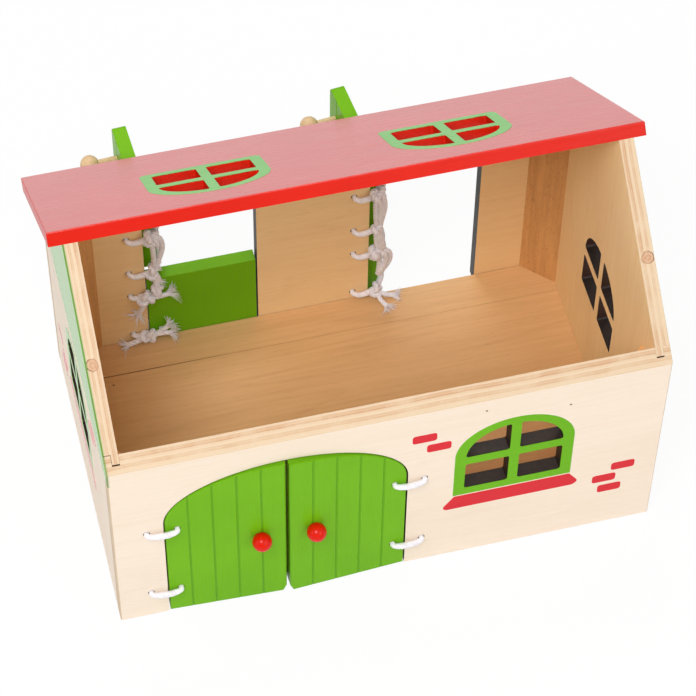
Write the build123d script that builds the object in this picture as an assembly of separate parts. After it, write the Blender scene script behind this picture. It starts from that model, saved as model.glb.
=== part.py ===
from build123d import *
import math
import os

# Toy barn with lashed doors. Millimetres, X to the right, Y to the back, Z up.
# The origin is on the ground under the middle of the four walls.

# Walls and roof
barn_width = 360.0  # over both gable walls
barn_depth = 222.0  # over the front and rear walls
eave_height = 172.5  # outer top edge of the front and rear walls
ridge_height = 263.0  # apex of the gable walls
wall_board = 9.5  # thickness of every wall board
edge_round = 1.2  # rounding of the outer upright corners
roof_board = 9.0  # thickness of the roof panel
roof_side_overhang = 8.5  # past each gable wall
roof_length = 172.0  # down the rear slope from the ridge
roof_edge_round = 1.0

# Corner joints between the walls
tongue_thickness = 4.8  # inner part of the gable board that enters the front and rear walls
tongue_length = 4.6
groove_end_gap = 0.7  # left open past the tongue's end
joint_gap = 0.08  # glue line on the sides of the tongue

# Floor and corner blocks
floor_board = 9.5
floor_seam_y = 74.5  # joint between the two floor boards
floor_seam_gap = 0.15
floor_side_gap = 0.1
door_stop_gap = 0.5  # between a shut door and the floor's edge that stops it
block_leg = 20.5  # legs of the triangular corner blocks
front_block_top = 156.0
short_block_rise = 6.0  # lower end of the front left block, above the cord hole beside it
block_gap = 0.05  # glue line under the roof

# Windows, all cut from one template
window_width = 64.2  # over the panes
window_height = 64.0  # from the sill line to the top of the arch
window_arch_rise = 28.7
window_post = 6.6  # upright bar
window_bar = 8.0  # level bar, under the arch's springing line
pane_round = 1.5
front_window_inset = 99.1  # its middle, from the right end of the front wall
wall_window_z = 77.2  # lower edge of the panes
side_window_y = 1.0
roof_window_inset = 101.5  # their middles, from the outer face of each gable wall
roof_window_base = 100.6  # lower edge of the panes, measured down from the ridge

# Front doors
front_opening_margin = 22.9  # from the left gable wall's inner face
front_opening_width = 158.6
front_opening_spring = 106.0
front_opening_rise = 46.0
front_ajar = {"left": 2.3, "right": 3.2}  # degrees, as the doors stand

# Rear doors
rear_opening_margin = 53.7  # from each gable wall's inner face
rear_opening_width = 77.6
rear_opening_top = 138.2
rear_opening_round = 4.0
rear_split_height = 75.0  # between the lower and the upper leaf

# All doors
door_board = 9.5
door_gap = 0.8  # round each leaf
rear_free_gap = 1.2  # past the swinging edge of a rear leaf
meeting_gap = 2.0  # between two leaves
door_ground_gap = 0.9
door_edge_round = 0.6
hinge_out = 0.6  # turning axis, outside the wall's outer face
groove_pitch = 15.6
groove_width = 1.7
groove_depth = 0.55
corner_cut_width = 2.2  # lower free corner of the front leaves
corner_cut_height = 6.0

# Knobs
front_bead_diameter = 12.8
front_bead_out = 4.6  # centre, outside the leaf's face
front_knob_inset = 16.5  # from the leaf's free edge
front_knob_height = 73.0
rear_ball_diameter = 12.8
rear_ball_out = 19.0
rear_knob_inset = 11.5
rear_knob_height = {"lower": 37.0, "upper": 117.0}
dowel_diameter = 4.0
dowel_gap = 0.05  # glue line round the dowel
dowel_in_door = 6.0
dowel_in_bead = 5.0

# Cord lashings that serve as hinges
cord_diameter = 3.4
cord_hole_diameter = 4.4
cord_stand_off = 0.45  # cord's surface to the board it crosses
cord_bend = 2.3  # centre-line radius at each fold
wall_hole_inset = 11.0  # from the opening's edge
door_hole_inset = 8.3  # from the turning axis
front_hole_heights = {"upper": 99.0, "lower": 27.5}
rear_hole_heights = {"lower": (60.5, 17.0), "upper": (123.5, 86.5)}
knot_diameter = 8.4
tail_diameter = 3.0
tail_lengths = (18.0, 15.0)  # the two loose ends of each knot, from the knot's middle

half_width = barn_width / 2
half_depth = barn_depth / 2
inner_x = half_width - wall_board
inner_y = half_depth - wall_board
slope = math.atan2(ridge_height - eave_height, half_depth)
front_window_x = half_width - front_window_inset
roof_window_x = half_width - roof_window_inset
front_opening_x = front_opening_margin + front_opening_width / 2 - inner_x
rear_opening_x = inner_x - rear_opening_margin - rear_opening_width / 2
cord_offset = cord_diameter / 2 + cord_stand_off
overcut = 5.0  # how far a cutting tool runs past what it cuts

# Angle at which each rear leaf stands, in degrees from shut
rear_standing = {
    ("left", "lower"): 0.0,
    ("left", "upper"): 93.0,
    ("right", "lower"): 94.0,
    ("right", "upper"): 96.0,
}

# Loose ends of a knot: heading off the knot's inward side and drop below level, in degrees
hanging_ends = ((-38.0, 58.0), (46.0, 50.0))
spread_ends = ((-42.0, 14.0), (40.0, 12.0))
floor_ends = ((-44.0, 5.0), (36.0, 3.0))


def slope_height(y):
    """Height of the roof slopes above the ground at depth y."""
    return ridge_height - abs(y) * math.tan(slope)


def front_prism(points, y_low, y_high):
    """Outline of (x, z) points, carried along Y."""
    face = make_face(Polyline(*[(x, y_low, z) for x, z in points], close=True))
    return extrude(face, amount=y_high - y_low, dir=(0, 1, 0))


def side_prism(points, x_low, x_high):
    """Outline of (y, z) points, carried along X."""
    face = make_face(Polyline(*[(x_low, y, z) for y, z in points], close=True))
    return extrude(face, amount=x_high - x_low, dir=(1, 0, 0))


def gable_outline(half):
    """Pentagon of a gable wall that reaches to +half and -half in depth."""
    shoulder = slope_height(half)
    return [(-half, 0), (half, 0), (half, shoulder), (0, ridge_height), (-half, shoulder)]


def arch_sketch(width, spring, rise):
    """Outline standing on the X axis: upright sides and a half ellipse above."""
    body = Pos(0, spring / 2) * Rectangle(width, spring)
    return body + Pos(0, spring) * Ellipse(width / 2, rise)


def stand_up(sketch, x, z, depth):
    """Solid of a flat sketch stood upright at (x, z) and carried both ways along Y."""
    plane = Plane(origin=(x, 0, z), x_dir=(1, 0, 0), z_dir=(0, -1, 0))
    return extrude(plane * sketch, amount=depth, both=True)


def window_panes():
    """Sketch of the four panes; the middle of their lower edge is the origin."""
    spring = window_height - window_arch_rise
    outline = arch_sketch(window_width, spring, window_arch_rise)
    upright = Pos(0, window_height / 2) * Rectangle(window_post, window_height + overcut)
    level = Pos(0, spring - window_bar / 2) * Rectangle(window_width + overcut, window_bar)
    panes = outline - upright - level
    return fillet(panes.vertices(), radius=pane_round)


def window_cutter(thickness):
    """The panes as one solid tool, standing in the XZ plane at the origin."""
    return stand_up(window_panes(), 0, 0, thickness)


def hole_along_y(x, y, z, diameter, reach):
    """Round tool along Y through (x, y, z)."""
    return Pos(x, y, z) * Rot(90, 0, 0) * Cylinder(diameter / 2, reach)


def board_wall(side):
    """Front (-1) or rear (+1) wall: full width, its top bevelled to the roof slope."""
    outer = side * half_depth
    inner = side * inner_y
    outline = [(outer, 0), (outer, eave_height), (inner, slope_height(inner_y)), (inner, 0)]
    wall = side_prism(outline, -half_width, half_width)
    uprights = wall.edges().filter_by(Axis.Z).group_by(Axis.Y)
    wall = fillet(uprights[0 if side < 0 else -1], radius=edge_round)
    depth = tongue_length + groove_end_gap
    for end in (-1, 1):
        x = end * (inner_x + tongue_thickness / 2)
        y = inner + side * depth / 2
        groove = Box(tongue_thickness + 2 * joint_gap, depth, 2 * ridge_height)
        wall -= Pos(x, y, 0) * groove
    return wall


def front_hinge(side):
    """Turning axis of a front leaf, as (x, y)."""
    edge = front_opening_width / 2 - door_gap / 2
    direction = -1 if side == "left" else 1
    return front_opening_x + direction * edge, -half_depth - hinge_out


def rear_hinge(side):
    """Turning axis of a rear leaf, at the left edge of its opening, as (x, y)."""
    middle = -rear_opening_x if side == "left" else rear_opening_x
    return middle - rear_opening_width / 2 + door_gap / 2, half_depth + hinge_out


def front_wall():
    wall = board_wall(-1)
    opening = arch_sketch(front_opening_width, front_opening_spring + overcut, front_opening_rise)
    wall -= Pos(0, -half_depth, 0) * stand_up(opening, front_opening_x, -overcut, 2 * wall_board)
    panes = window_cutter(2 * wall_board)
    wall -= Pos(front_window_x, -half_depth, wall_window_z) * panes
    for side in ("left", "right"):
        axis_x, _ = front_hinge(side)
        away = -1 if side == "left" else 1
        x = axis_x + away * (wall_hole_inset + door_gap / 2)
        for height in front_hole_heights.values():
            wall -= hole_along_y(x, -half_depth, height, cord_hole_diameter, 4 * wall_board)
    return wall


def rear_wall():
    wall = board_wall(1)
    for side, middle in (("left", -rear_opening_x), ("right", rear_opening_x)):
        height = rear_opening_top + overcut
        opening = Pos(0, height / 2) * Rectangle(rear_opening_width, height)
        upper = opening.vertices().group_by(Axis.Y)[-1]
        opening = fillet(upper, radius=rear_opening_round)
        wall -= Pos(0, half_depth, 0) * stand_up(opening, middle, -overcut, 2 * wall_board)
        axis_x, _ = rear_hinge(side)
        x = axis_x - door_gap / 2 - wall_hole_inset
        for heights in rear_hole_heights.values():
            for height in heights:
                wall -= hole_along_y(x, half_depth, height, cord_hole_diameter, 4 * wall_board)
    return wall


def gable_wall(side):
    """Left (-1) or right (+1) wall with tongues on its inner half and an arched window."""
    faces = sorted((side * inner_x, side * half_width))
    wall = side_prism(gable_outline(inner_y), faces[0], faces[1])
    tongue = sorted((side * inner_x, side * (inner_x + tongue_thickness)))
    wall += side_prism(gable_outline(inner_y + tongue_length), tongue[0], tongue[1])
    panes = Rot(0, 0, 90) * window_cutter(2 * wall_board)
    return wall - Pos(side * half_width, side_window_y, wall_window_z) * panes


def roof_plane():
    """Plane of the roof's underside: origin at the ridge, X across, Y down the rear slope."""
    normal = (0, math.sin(slope), math.cos(slope))
    return Plane(origin=(0, 0, ridge_height), x_dir=(1, 0, 0), z_dir=normal)


def roof_panel():
    width = barn_width + 2 * roof_side_overhang
    panel = Pos(0, roof_length / 2, roof_board / 2) * Box(width, roof_length, roof_board)
    top = panel.faces().sort_by(Axis.Z)[-1].edges()
    panel = fillet(top + panel.edges().filter_by(Axis.Z), radius=roof_edge_round)
    for x in (-roof_window_x, roof_window_x):
        panes = mirror(window_panes(), about=Plane.XZ)
        tool = extrude(panes, amount=2 * roof_board, both=True)
        panel -= Pos(x, roof_window_base, 0) * tool
    return roof_plane() * panel


def floor_boards():
    """Two boards between the walls, their outer edges set back to stop the doors."""
    width = 2 * (inner_x - floor_side_gap)
    front = -inner_y + door_stop_gap
    rear = inner_y - door_stop_gap
    spans = {
        "floor_front_board": (front, floor_seam_y - floor_seam_gap / 2),
        "floor_rear_board": (floor_seam_y + floor_seam_gap / 2, rear),
    }
    boards = {}
    for name, (low, high) in spans.items():
        board = Box(width, high - low, floor_board)
        boards[name] = Pos(0, (low + high) / 2, floor_board / 2) * board
    return boards


def corner_block(side_x, side_y):
    """Triangular block glued into an inner corner, standing on the floor.

    The front left one is short, clear of the cord that is knotted below it."""
    x = side_x * inner_x
    y = side_y * inner_y
    short = side_x < 0 and side_y < 0
    low = front_hole_heights["upper"] + short_block_rise if short else floor_board
    corner = [(x, y), (x - side_x * block_leg, y), (x, y - side_y * block_leg)]
    face = make_face(Polyline(*[(px, py, low) for px, py in corner], close=True))
    if side_y < 0:
        return extrude(face, amount=front_block_top - low, dir=(0, 0, 1))
    tall = extrude(face, amount=ridge_height, dir=(0, 0, 1))
    below = [(py, pz - block_gap) for py, pz in gable_outline(half_depth)]
    return tall & side_prism(below, -barn_width, barn_width)


def cut_grooves(leaf, axis_x, direction, width, outer_y, outward):
    """Upright V grooves that part the leaf's outer face into planks."""
    count = math.ceil(width / groove_pitch) - 1
    for number in range(1, count + 1):
        x = axis_x + direction * number * groove_pitch
        near = x - groove_width / 2
        far = x + groove_width / 2
        section = [
            (near, outer_y, -overcut),
            (x, outer_y - outward * groove_depth, -overcut),
            (far, outer_y, -overcut),
            (far, outer_y + outward, -overcut),
            (near, outer_y + outward, -overcut),
        ]
        face = make_face(Polyline(*section, close=True))
        leaf -= extrude(face, amount=2 * ridge_height, dir=(0, 0, 1))
    return leaf


def soften_face(leaf, outer_y):
    """Round the rim of the leaf's outer face."""
    flat = leaf.faces().filter_by(Axis.Y)
    outer = min(flat, key=lambda face: abs(face.center().Y - outer_y))
    return fillet(outer.edges(), radius=door_edge_round)


def front_leaf(side):
    """One half of the arched pair, in its shut place."""
    shut_y = -half_depth
    width = front_opening_width - 2 * door_gap
    spring = front_opening_spring - door_ground_gap
    rise = front_opening_rise - door_gap
    pair = stand_up(arch_sketch(width, spring, rise), front_opening_x, door_ground_gap, door_board)
    slab = Pos(0, shut_y + door_board / 2, 0) * Box(2 * barn_width, door_board, 2 * ridge_height)
    direction = 1 if side == "left" else -1
    free_x = front_opening_x - direction * meeting_gap / 2
    half = Pos(free_x - direction * barn_width / 2, 0, 0) * Box(barn_width, 2 * barn_depth, 2 * ridge_height)
    leaf = (Pos(0, shut_y, 0) * pair) & slab & half
    cut = [
        (free_x + direction, -overcut),
        (free_x + direction, corner_cut_height + door_ground_gap),
        (free_x, corner_cut_height + door_ground_gap),
        (free_x - direction * corner_cut_width, door_ground_gap),
        (free_x - direction * corner_cut_width, -overcut),
    ]
    leaf -= front_prism(cut, shut_y - overcut, shut_y + door_board + overcut)
    leaf = soften_face(leaf.solid(), shut_y)
    axis_x, _ = front_hinge(side)
    leaf = cut_grooves(leaf, axis_x, direction, width / 2, shut_y, -1)
    hole_x = axis_x + direction * door_hole_inset
    for height in front_hole_heights.values():
        leaf -= hole_along_y(hole_x, shut_y, height, cord_hole_diameter, 4 * door_board)
    knob_x = free_x - direction * front_knob_inset
    bore = 2 * dowel_in_door
    leaf -= hole_along_y(knob_x, shut_y, front_knob_height, dowel_diameter + 2 * dowel_gap, bore)
    return leaf, knob_x


def rear_leaf(side, level):
    """One rear leaf, in its shut place."""
    axis_x, _ = rear_hinge(side)
    width = rear_opening_width - door_gap - rear_free_gap
    low_x = axis_x + door_gap / 2
    if level == "lower":
        bottom = door_ground_gap
        top = rear_split_height - meeting_gap / 4
    else:
        bottom = rear_split_height + meeting_gap / 4
        top = rear_opening_top - door_gap
    outline = Pos(width / 2, (top - bottom) / 2) * Rectangle(width, top - bottom)
    if level == "upper":
        outline = fillet(outline.vertices().group_by(Axis.Y)[-1], radius=rear_opening_round)
    leaf = stand_up(outline, low_x, bottom, door_board / 2)
    leaf = Pos(0, half_depth - door_board / 2, 0) * leaf
    leaf = soften_face(leaf.solid(), half_depth)
    leaf = cut_grooves(leaf, axis_x, 1, width, half_depth, 1)
    for height in rear_hole_heights[level]:
        x = axis_x + door_hole_inset
        leaf -= hole_along_y(x, half_depth, height, cord_hole_diameter, 4 * door_board)
    knob_x = low_x + width - rear_knob_inset
    bore = 2 * dowel_in_door
    z = rear_knob_height[level]
    leaf -= hole_along_y(knob_x, half_depth, z, dowel_diameter + 2 * dowel_gap, bore)
    return leaf, knob_x


def bead(x, y, z, outward, diameter, out):
    """Bored ball, its centre out from the face at y; a flat is cut where it meets the face."""
    centre_y = y + outward * out
    ball = Pos(x, centre_y, z) * Sphere(diameter / 2)
    ball -= Pos(x, y - outward * diameter / 2, z) * Box(diameter, diameter, diameter)
    mouth_y = centre_y - outward * diameter
    floor_y = bead_bore_floor(y, outward, diameter, out)
    reach = abs(floor_y - mouth_y)
    ball -= hole_along_y(x, (mouth_y + floor_y) / 2, z, dowel_diameter + 2 * dowel_gap, reach)
    return ball


def bead_bore_floor(y, outward, diameter, out):
    """Where the bore ends inside the ball, as a depth coordinate."""
    nearest = max(0.0, out - diameter / 2)
    return y + outward * (nearest + dowel_in_bead)


def dowel(x, y, z, outward, diameter, out):
    """Dowel from its hole in the leaf into the bead."""
    start = y - outward * (dowel_in_door - dowel_gap)
    end = bead_bore_floor(y, outward, diameter, out) - outward * dowel_gap
    return hole_along_y(x, (start + end) / 2, z, dowel_diameter, abs(end - start))


def cord_loop(points):
    """Closed loop of round cord: straight runs joined by arcs."""
    line = FilletPolyline(*points, radius=[cord_bend] * len(points), close=True)
    runs = []
    for run in line.edges():
        ring = Plane(origin=run @ 0, z_dir=run % 0) * Circle(cord_diameter / 2)
        runs.append(sweep(ring, path=run))
    return Part() + runs


def lashing_route(angle):
    """Corners of the cord as seen from above, the knotted run first.

    The turning axis is the origin, the wall lies towards -X, the leaf turns from +X towards +Y,
    and outside is +Y."""
    turn = math.radians(angle)

    def on_leaf(distance, offset):
        x = distance * math.cos(turn) - offset * math.sin(turn)
        y = distance * math.sin(turn) + offset * math.cos(turn)
        return x, y

    folded = angle > 30
    inner_offset = cord_offset if folded else knot_diameter / 2 + cord_stand_off
    outside = cord_offset - hinge_out
    wall_inside = -hinge_out - wall_board - inner_offset
    leaf_inside = -hinge_out - door_board - inner_offset
    wall_x = -door_gap / 2 - wall_hole_inset
    leaf_in = on_leaf(door_hole_inset, leaf_inside)
    leaf_out = on_leaf(door_hole_inset, outside)
    ends = [leaf_in, leaf_out, (wall_x, outside), (wall_x, wall_inside)]
    if not folded:
        return [ends[3]] + ends[:3]
    wall_corner = (cord_offset - door_gap / 2, wall_inside)
    leaf_corner = on_leaf(door_gap / 2 - cord_offset, leaf_inside)
    return [wall_corner, leaf_corner] + ends


def lashing(angle, ends):
    """Knotted cord through the wall's hole and the leaf's hole, with two loose ends."""
    route = lashing_route(angle)
    start, stop = Vector(*route[0]), Vector(*route[1])
    run = (stop - start).normalized()
    inward = run.rotate(Axis.Z, -90)
    knot = (start + stop) / 2
    cord = cord_loop(route)
    cord += Plane(origin=knot, x_dir=-inward, z_dir=run) * Sphere(knot_diameter / 2)
    for (heading, drop), length in zip(ends, tail_lengths):
        level = inward.rotate(Axis.Z, heading) * math.cos(math.radians(drop))
        way = level - Vector(0, 0, math.sin(math.radians(drop)))
        cord += extrude(Plane(origin=knot, z_dir=way) * Circle(tail_diameter / 2), amount=length)
    return cord


def turned(shape, axis, angle):
    """The shape turned about an upright hinge axis."""
    return shape.rotate(Axis((axis[0], axis[1], 0), (0, 0, 1)), angle)


def front_door_nodes(side):
    """Leaf, bead, dowel and two lashings of one front door."""
    hinge = front_hinge(side)
    swing = -front_ajar[side] if side == "left" else front_ajar[side]
    leaf, knob_x = front_leaf(side)
    face = (knob_x, -half_depth, front_knob_height, -1, front_bead_diameter, front_bead_out)
    prefix = f"front_{side}"
    nodes = {
        f"{prefix}_door": turned(leaf, hinge, swing),
        f"{prefix}_knob": turned(bead(*face), hinge, swing),
        f"{prefix}_knob_dowel": turned(dowel(*face), hinge, swing),
    }
    for level, height in front_hole_heights.items():
        ends = hanging_ends if level == "upper" else spread_ends
        cord = lashing(front_ajar[side], ends)
        cord = mirror(cord, about=Plane.XZ) if side == "left" else Rot(0, 0, 180) * cord
        nodes[f"{prefix}_{level}_lashing"] = Pos(hinge[0], hinge[1], height) * cord
    return nodes


def rear_door_nodes(side, level):
    """Leaf, ball, dowel and two lashings of one rear leaf."""
    hinge = rear_hinge(side)
    swing = rear_standing[(side, level)]
    leaf, knob_x = rear_leaf(side, level)
    face = (knob_x, half_depth, rear_knob_height[level], 1, rear_ball_diameter, rear_ball_out)
    prefix = f"rear_{side}_{level}"
    nodes = {
        f"{prefix}_door": turned(leaf, hinge, swing),
        f"{prefix}_knob": turned(bead(*face), hinge, swing),
        f"{prefix}_knob_dowel": turned(dowel(*face), hinge, swing),
    }
    ends = {"upper": (hanging_ends, spread_ends), "lower": (spread_ends, floor_ends)}
    for place in (0, 1):
        cord = lashing(swing, ends[level][place])
        name = f"{prefix}_{('top', 'bottom')[place]}_lashing"
        nodes[name] = Pos(hinge[0], hinge[1], rear_hole_heights[level][place]) * cord
    return nodes


def barn_nodes():
    """Every piece of the barn, by name."""
    nodes = {
        "front_wall": front_wall(),
        "rear_wall": rear_wall(),
        "left_gable_wall": gable_wall(-1),
        "right_gable_wall": gable_wall(1),
        "roof_panel": roof_panel(),
    }
    nodes.update(floor_boards())
    for name_x, side_x in (("left", -1), ("right", 1)):
        for name_y, side_y in (("front", -1), ("rear", 1)):
            nodes[f"{name_y}_{name_x}_corner_block"] = corner_block(side_x, side_y)
    for side in ("left", "right"):
        nodes.update(front_door_nodes(side))
        for level in ("lower", "upper"):
            nodes.update(rear_door_nodes(side, level))
    return nodes


def main():
    os.makedirs("parts", exist_ok=True)
    for name, shape in barn_nodes().items():
        export_step(shape, f"parts/{name}.step")
    for side in ("left", "right"):
        print("front", side, "axis", [round(v, 3) for v in front_hinge(side)])
        print("rear", side, "axis", [round(v, 3) for v in rear_hinge(side)])


main()
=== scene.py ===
import functools
import math
import bpy
import bmesh
import numpy as np
from mathutils import Matrix, Vector


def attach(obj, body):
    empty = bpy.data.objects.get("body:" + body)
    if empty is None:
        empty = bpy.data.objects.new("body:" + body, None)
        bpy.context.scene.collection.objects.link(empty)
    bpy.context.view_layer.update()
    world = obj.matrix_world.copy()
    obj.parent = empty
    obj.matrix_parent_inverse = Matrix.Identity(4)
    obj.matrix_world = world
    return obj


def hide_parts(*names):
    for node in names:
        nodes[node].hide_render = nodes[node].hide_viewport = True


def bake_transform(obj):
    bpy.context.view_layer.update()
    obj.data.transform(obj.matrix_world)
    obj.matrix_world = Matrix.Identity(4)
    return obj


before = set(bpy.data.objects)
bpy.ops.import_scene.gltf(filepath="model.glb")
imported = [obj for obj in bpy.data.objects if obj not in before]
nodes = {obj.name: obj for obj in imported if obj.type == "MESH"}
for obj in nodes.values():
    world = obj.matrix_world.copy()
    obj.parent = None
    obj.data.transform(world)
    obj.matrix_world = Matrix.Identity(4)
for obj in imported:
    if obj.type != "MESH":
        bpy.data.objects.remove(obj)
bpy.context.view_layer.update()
mm = 0.001
print("barn: frame loaded,", len(nodes), "nodes")

shot = {
    "place": (-0.286272, -1.086386, 1.679739),
    "right": (0.970710, -0.240031, 0.010327),
    "up": (0.189970, 0.793156, 0.578632),
    "lens": 152.79,
    "sensor": 36.0,
}


def addObject(name, data):
    thing = bpy.data.objects.new(name, data)
    bpy.context.scene.collection.objects.link(thing)
    return thing


def placeCamera(settings):
    lens = bpy.data.cameras.new("barnCamera")
    lens.lens = settings["lens"]
    lens.sensor_width = settings["sensor"]
    lens.clip_start = 0.05
    lens.clip_end = 20.0
    eye = addObject("barnCamera", lens)
    right = Vector(settings["right"]).normalized()
    up = Vector(settings["up"]).normalized()
    turn = Matrix((right, up, right.cross(up))).transposed()
    eye.matrix_world = Matrix.Translation(settings["place"]) @ turn.to_4x4()
    bpy.context.scene.camera = eye


placeCamera(shot)
print("barn: camera placed")


def feed(socket, value):  # links a socket to an input, or sets the input's own value
    if isinstance(value, bpy.types.NodeSocket):
        socket.id_data.links.new(value, socket)
    else:
        socket.default_value = value


def put(tree, kind, **values):  # one shader node; values name its inputs, with _ for a space
    node = tree.nodes.new(kind)
    for key, value in values.items():
        feed(node.inputs[key.replace("_", " ")], value)
    return node


def mathNode(operation, tree, a, b=None, clamp=False):  # a and b are numbers or sockets
    node = tree.nodes.new("ShaderNodeMath")
    node.operation = operation
    node.use_clamp = clamp
    feed(node.inputs[0], a)
    if b is not None:
        feed(node.inputs[1], b)
    return node.outputs[0]


plus, minus, times, divided, isOver, isUnder, absolute, fraction, smaller, larger = (
    functools.partial(mathNode, operation)
    for operation in ("ADD", "SUBTRACT", "MULTIPLY", "DIVIDE", "GREATER_THAN", "LESS_THAN", "ABSOLUTE",
                      "FRACT", "MINIMUM", "MAXIMUM")
)


def vectorMath(operation, tree, a, b=None):
    node = tree.nodes.new("ShaderNodeVectorMath")
    node.operation = operation
    feed(node.inputs[0], a)
    if b is not None:
        feed(node.inputs[1], b)
    return node.outputs


def isWithin(tree, value, middle, reach):  # 1 where the value lies within reach of the middle
    mask = mathNode("COMPARE", tree, value, middle)
    feed(mask.node.inputs[2], reach)
    return mask


def mixColour(tree, factor, first, second, blend="MIX"):
    node = tree.nodes.new("ShaderNodeMix")
    node.data_type = "RGBA"
    node.blend_type = blend
    for index, value in ((0, factor), (6, first), (7, second)):  # the inputs that a colour mix shows
        feed(node.inputs[index], value)
    return node.outputs[2]


def ramp(tree, value, stops):  # stops are (place, colour or grey level)
    node = put(tree, "ShaderNodeValToRGB", Fac=value)
    while len(node.color_ramp.elements) < len(stops):
        node.color_ramp.elements.new(0.5)
    for element, (place, colour) in zip(node.color_ramp.elements, stops):
        element.position = place
        element.color = colour if isinstance(colour, tuple) else grey(colour)
    return node.outputs[0]


def stretched(tree, vector, scale):
    return put(tree, "ShaderNodeMapping", Scale=scale, Vector=vector).outputs[0]


def noise(tree, vector, scale, detail=2.0, rough=0.5, distortion=0.0):
    return put(tree, "ShaderNodeTexNoise", Vector=vector, Scale=scale, Detail=detail, Roughness=rough,
               Distortion=distortion).outputs[0]


def arrange(tree):  # sets the nodes in columns, by their steps from the tree's last node
    steps = {node.name: 0 for node in tree.nodes}
    for _ in tree.nodes:
        for link in tree.links:
            steps[link.from_node.name] = max(steps[link.from_node.name], steps[link.to_node.name] + 1)
    columns = list(steps.values())
    for index, node in enumerate(tree.nodes):
        node.location = (-220 * columns[index], -180 * columns[:index].count(columns[index]))


def grey(v):
    return (v, v, v, 1.0)


def rgb(r, g, b):  # display colour in 0 to 255 as the linear colour that a shader takes
    v = np.array([r, g, b]) / 255.0
    v = np.where(v <= 0.04045, v / 12.92, ((v + 0.055) / 1.055) ** 2.4)
    return (float(v[0]), float(v[1]), float(v[2]), 1.0)


def startGroup(name, inputs, outputs):  # inputs are (name, kind, default), outputs (name, kind)
    tree = bpy.data.node_groups.new(name, "ShaderNodeTree")
    for label, kind, default in inputs:
        socket = tree.interface.new_socket(label, in_out="INPUT", socket_type=kind)
        if default is not None:
            socket.default_value = default
    for label, kind in outputs:
        tree.interface.new_socket(label, in_out="OUTPUT", socket_type=kind)
    return tree, tree.nodes.new("NodeGroupInput").outputs, tree.nodes.new("NodeGroupOutput").inputs


floatKind, colourKind, vectorKind = "NodeSocketFloat", "NodeSocketColor", "NodeSocketVector"


def woodGrainGroup():  # veneer: fine fibres, broad cathedral bands and short pores along the vector's X
    tree, given, out = startGroup(
        "woodGrain",
        [
            ("Vector", vectorKind, None), ("Pale", colourKind, (0.8, 0.62, 0.42, 1)),
            ("Dark", colourKind, (0.6, 0.4, 0.22, 1)), ("Fibre Scale", floatKind, 420.0),
            ("Band Scale", floatKind, 34.0), ("Contrast", floatKind, 0.5), ("Pores", floatKind, 0.3),
            ("Pore Scale", floatKind, 900.0),
        ],
        [("Color", colourKind), ("Grain", floatKind), ("Height", floatKind)],
    )
    long = stretched(tree, given["Vector"], (0.035, 1.0, 1.0))
    wide = stretched(tree, given["Vector"], (0.11, 1.0, 1.0))
    fibre = noise(tree, long, given["Fibre Scale"], 5.0, 0.62, 0.15)
    bands = noise(tree, wide, given["Band Scale"], 2.0, 0.5, 0.9)
    rings = fraction(tree, times(tree, bands, 9.0))  # contour lines of the bands
    lines = ramp(tree, rings, [(0.0, 0), (0.72, 0.35), (0.93, 1), (1.0, 0)])
    fine = ramp(tree, fibre, [(0.35, 0), (0.68, 1)])
    broad = ramp(tree, bands, [(0.36, 0), (0.66, 1)])
    both = plus(tree, times(tree, fine, 0.38), times(tree, broad, 0.38))
    both = plus(tree, both, times(tree, lines, 0.24))
    short = stretched(tree, given["Vector"], (0.14, 1.0, 1.0))
    pore = ramp(tree, noise(tree, short, given["Pore Scale"], 1.0), [(0.6, 0), (0.72, 1)])
    pore = times(tree, pore, given["Pores"])
    mask = times(tree, both, given["Contrast"])
    total = plus(tree, mask, pore, clamp=True)
    feed(out["Color"], mixColour(tree, total, given["Pale"], given["Dark"]))
    feed(out["Grain"], total)
    feed(out["Height"], minus(tree, fine, pore))
    return tree


def plyLayersGroup():  # cut edge of plywood: plies stacked over Depth, from 0 at one face to 1 at the other
    tree, given, out = startGroup(
        "plyLayers",
        [
            ("Vector", vectorKind, None), ("Depth", floatKind, 0.5),
            ("Long", colourKind, (0.95, 0.85, 0.66, 1)), ("Cross", colourKind, (0.75, 0.55, 0.36, 1)),
        ],
        [("Color", colourKind), ("Height", floatKind)],
    )
    wander = minus(tree, noise(tree, given["Vector"], 26.0), 0.5)
    place = plus(tree, given["Depth"], times(tree, wander, 0.16))
    stops = [(0.0, 0.3), (0.06, 0.05), (0.25, 0.15), (0.28, 0.6), (0.36, 0.35), (0.45, 0.5),
             (0.48, 0.0), (0.6, 0.15), (0.66, 0.3), (0.7, 1.0), (0.75, 0.5), (0.86, 0.65),
             (0.9, 0.1), (1.0, 0.3)]
    ply = ramp(tree, place, stops)
    fade = ramp(tree, noise(tree, given["Vector"], 55.0, 3.0, 0.6), [(0.35, 0.35), (0.62, 1)])
    ply = times(tree, ply, fade)
    dots = ramp(tree, noise(tree, given["Vector"], 1400.0, 2.0, 0.7), [(0.4, 0), (0.7, 1)])
    mask = plus(tree, ply, times(tree, dots, 0.12), clamp=True)
    feed(out["Color"], mixColour(tree, mask, given["Long"], given["Cross"]))
    feed(out["Height"], mask)
    return tree


def boxMaskGroup():  # 1 inside a box about Centre with half sizes Half, fading over Soft at its sides
    tree, given, out = startGroup(
        "boxMask",
        [("Vector", vectorKind, None), ("Centre", vectorKind, (0, 0, 0)), ("Half", vectorKind, (1, 1, 1)),
         ("Soft", floatKind, 0.001)],
        [("Mask", floatKind)],
    )
    away = vectorMath("SUBTRACT", tree, given["Vector"], given["Centre"])[0]
    room = vectorMath("SUBTRACT", tree, given["Half"], vectorMath("ABSOLUTE", tree, away)[0])[0]
    parts = put(tree, "ShaderNodeSeparateXYZ", Vector=room).outputs
    least = smaller(tree, smaller(tree, parts[0], parts[1]), parts[2])
    feed(out["Mask"], divided(tree, least, given["Soft"], clamp=True))
    return tree


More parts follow.
